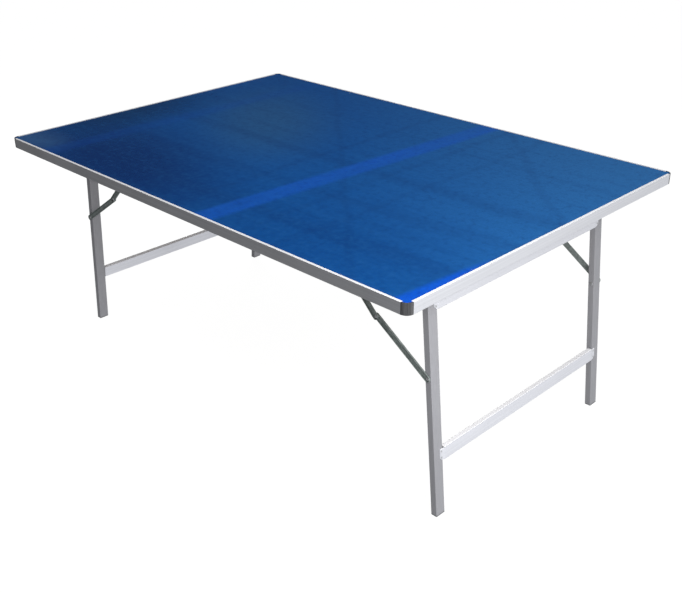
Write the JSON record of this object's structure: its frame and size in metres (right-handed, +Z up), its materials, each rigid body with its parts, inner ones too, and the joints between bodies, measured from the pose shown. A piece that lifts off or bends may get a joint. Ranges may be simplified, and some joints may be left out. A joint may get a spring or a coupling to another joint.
{
  "type": "folding table tennis table",
  "caption": "Table with a glossy blue board in metal edge rails, on fold-in splayed leg frames with crossbars and jointed side stays.",
  "frame": {"origin": "on the floor under the middle of the top, with the legs open", "axes": "+X along the long edges towards the right end, +Y along the short edges towards the rear, +Z up"},
  "size_m": [1.815, 1.23, 0.76],
  "materials": {
    "board_laminate": "gloss blue lacquered laminate",
    "rail_aluminium": "satin anodised extrusion",
    "cap_plastic": "dark grey moulded, lightly ribbed",
    "plug_plastic": "grey moulded",
    "leg_aluminium": "satin anodised tube",
    "crossbar_aluminium": "bright satin tube",
    "stay_steel": "zinc plated pressed strip",
    "bearer_steel": "zinc plated pressed sheet",
    "fastener_steel": "zinc plated"
  },
  "bodies": {
    "tabletop": {"board": "board_laminate", "center_bearer": "bearer_steel", "board_screws": "fastener_steel", "hinge_screws": "fastener_steel", "hinge_bolts": "fastener_steel", "hinge_nuts": "fastener_steel", "stay_bracket_pins": "fastener_steel", "front_rail": "rail_aluminium", "rear_rail": "rail_aluminium", "right_rail": "rail_aluminium", "left_rail": "rail_aluminium", "right_hinge_bearer": "bearer_steel", "left_hinge_bearer": "bearer_steel", "right_front_corner_cap": "cap_plastic", "right_front_hinge_lugs": "bearer_steel", "right_front_stay_bracket": "bearer_steel", "right_rear_corner_cap": "cap_plastic", "right_rear_hinge_lugs": "bearer_steel", "right_rear_stay_bracket": "bearer_steel", "left_front_corner_cap": "cap_plastic", "left_front_hinge_lugs": "bearer_steel", "left_front_stay_bracket": "bearer_steel", "left_rear_corner_cap": "cap_plastic", "left_rear_hinge_lugs": "bearer_steel", "left_rear_stay_bracket": "bearer_steel"},
    "right_leg_frame": {"right_upper_crossbar": "crossbar_aluminium", "right_stretcher": "crossbar_aluminium", "right_tab_rivets": "fastener_steel", "right_top_plugs": "plug_plastic", "right_stay_pivots": "fastener_steel", "right_front_leg": "leg_aluminium", "right_front_foot_plug": "plug_plastic", "right_rear_leg": "leg_aluminium", "right_rear_foot_plug": "plug_plastic"},
    "left_leg_frame": {"left_upper_crossbar": "crossbar_aluminium", "left_stretcher": "crossbar_aluminium", "left_tab_rivets": "fastener_steel", "left_top_plugs": "plug_plastic", "left_stay_pivots": "fastener_steel", "left_front_leg": "leg_aluminium", "left_front_foot_plug": "plug_plastic", "left_rear_leg": "leg_aluminium", "left_rear_foot_plug": "plug_plastic"},
    "right_front_lower_arm": {"right_front_lower_stay": "stay_steel", "right_front_knuckle_tail": "fastener_steel"},
    "right_front_upper_arm": {"right_front_upper_stay": "stay_steel", "right_front_knuckle_head": "fastener_steel"},
    "right_rear_lower_arm": {"right_rear_lower_stay": "stay_steel", "right_rear_knuckle_tail": "fastener_steel"},
    "right_rear_upper_arm": {"right_rear_upper_stay": "stay_steel", "right_rear_knuckle_head": "fastener_steel"},
    "left_front_lower_arm": {"left_front_lower_stay": "stay_steel", "left_front_knuckle_tail": "fastener_steel"},
    "left_front_upper_arm": {"left_front_upper_stay": "stay_steel", "left_front_knuckle_head": "fastener_steel"},
    "left_rear_lower_arm": {"left_rear_lower_stay": "stay_steel", "left_rear_knuckle_tail": "fastener_steel"},
    "left_rear_upper_arm": {"left_rear_upper_stay": "stay_steel", "left_rear_knuckle_head": "fastener_steel"}
  },
  "joints": [
    {"name": "right_frame_fold", "type": "hinge", "parent": "tabletop", "child": "right_leg_frame", "pos_m": [0.7809, 0, 0.728], "axis": [0, 1, 0], "range_deg": [0, 95.2]},
    {"name": "left_frame_fold", "type": "hinge", "parent": "tabletop", "child": "left_leg_frame", "pos_m": [-0.7809, 0, 0.728], "axis": [0, -1, 0], "range_deg": [0, 95.2]},
    {"name": "right_front_lower_arm_turn", "type": "hinge", "parent": "right_leg_frame", "child": "right_front_lower_arm", "pos_m": [0.80804, -0.41175, 0.43124], "axis": [0, 1, 0], "range_deg": [0, 51.17]},
    {"name": "right_front_upper_arm_turn", "type": "hinge", "parent": "tabletop", "child": "right_front_upper_arm", "pos_m": [0.45294, -0.41705, 0.728], "axis": [0, 1, 0], "range_deg": [-45.42, 0]},
    {"name": "right_rear_lower_arm_turn", "type": "hinge", "parent": "right_leg_frame", "child": "right_rear_lower_arm", "pos_m": [0.80804, 0.41175, 0.43124], "axis": [0, 1, 0], "range_deg": [0, 51.17]},
    {"name": "right_rear_upper_arm_turn", "type": "hinge", "parent": "tabletop", "child": "right_rear_upper_arm", "pos_m": [0.45294, 0.41705, 0.728], "axis": [0, 1, 0], "range_deg": [-45.42, 0]},
    {"name": "left_front_lower_arm_turn", "type": "hinge", "parent": "left_leg_frame", "child": "left_front_lower_arm", "pos_m": [-0.80804, -0.41175, 0.43124], "axis": [0, -1, 0], "range_deg": [0, 51.17]},
    {"name": "left_front_upper_arm_turn", "type": "hinge", "parent": "tabletop", "child": "left_front_upper_arm", "pos_m": [-0.45294, -0.41705, 0.728], "axis": [0, -1, 0], "range_deg": [-45.42, 0]},
    {"name": "left_rear_lower_arm_turn", "type": "hinge", "parent": "left_leg_frame", "child": "left_rear_lower_arm", "pos_m": [-0.80804, 0.41175, 0.43124], "axis": [0, -1, 0], "range_deg": [0, 51.17]},
    {"name": "left_rear_upper_arm_turn", "type": "hinge", "parent": "tabletop", "child": "left_rear_upper_arm", "pos_m": [-0.45294, 0.41705, 0.728], "axis": [0, -1, 0], "range_deg": [-45.42, 0]}
  ],
  "couplings": [
    {"joint": "right_front_lower_arm_turn", "follows": "right_frame_fold", "ratio": 0.53635},
    {"joint": "right_front_upper_arm_turn", "follows": "right_frame_fold", "ratio": -0.47592},
    {"joint": "right_rear_lower_arm_turn", "follows": "right_frame_fold", "ratio": 0.53635},
    {"joint": "right_rear_upper_arm_turn", "follows": "right_frame_fold", "ratio": -0.47592},
    {"joint": "left_front_lower_arm_turn", "follows": "left_frame_fold", "ratio": 0.53635},
    {"joint": "left_front_upper_arm_turn", "follows": "left_frame_fold", "ratio": -0.47592},
    {"joint": "left_rear_lower_arm_turn", "follows": "left_frame_fold", "ratio": 0.53635},
    {"joint": "left_rear_upper_arm_turn", "follows": "left_frame_fold", "ratio": -0.47592}
  ]
}
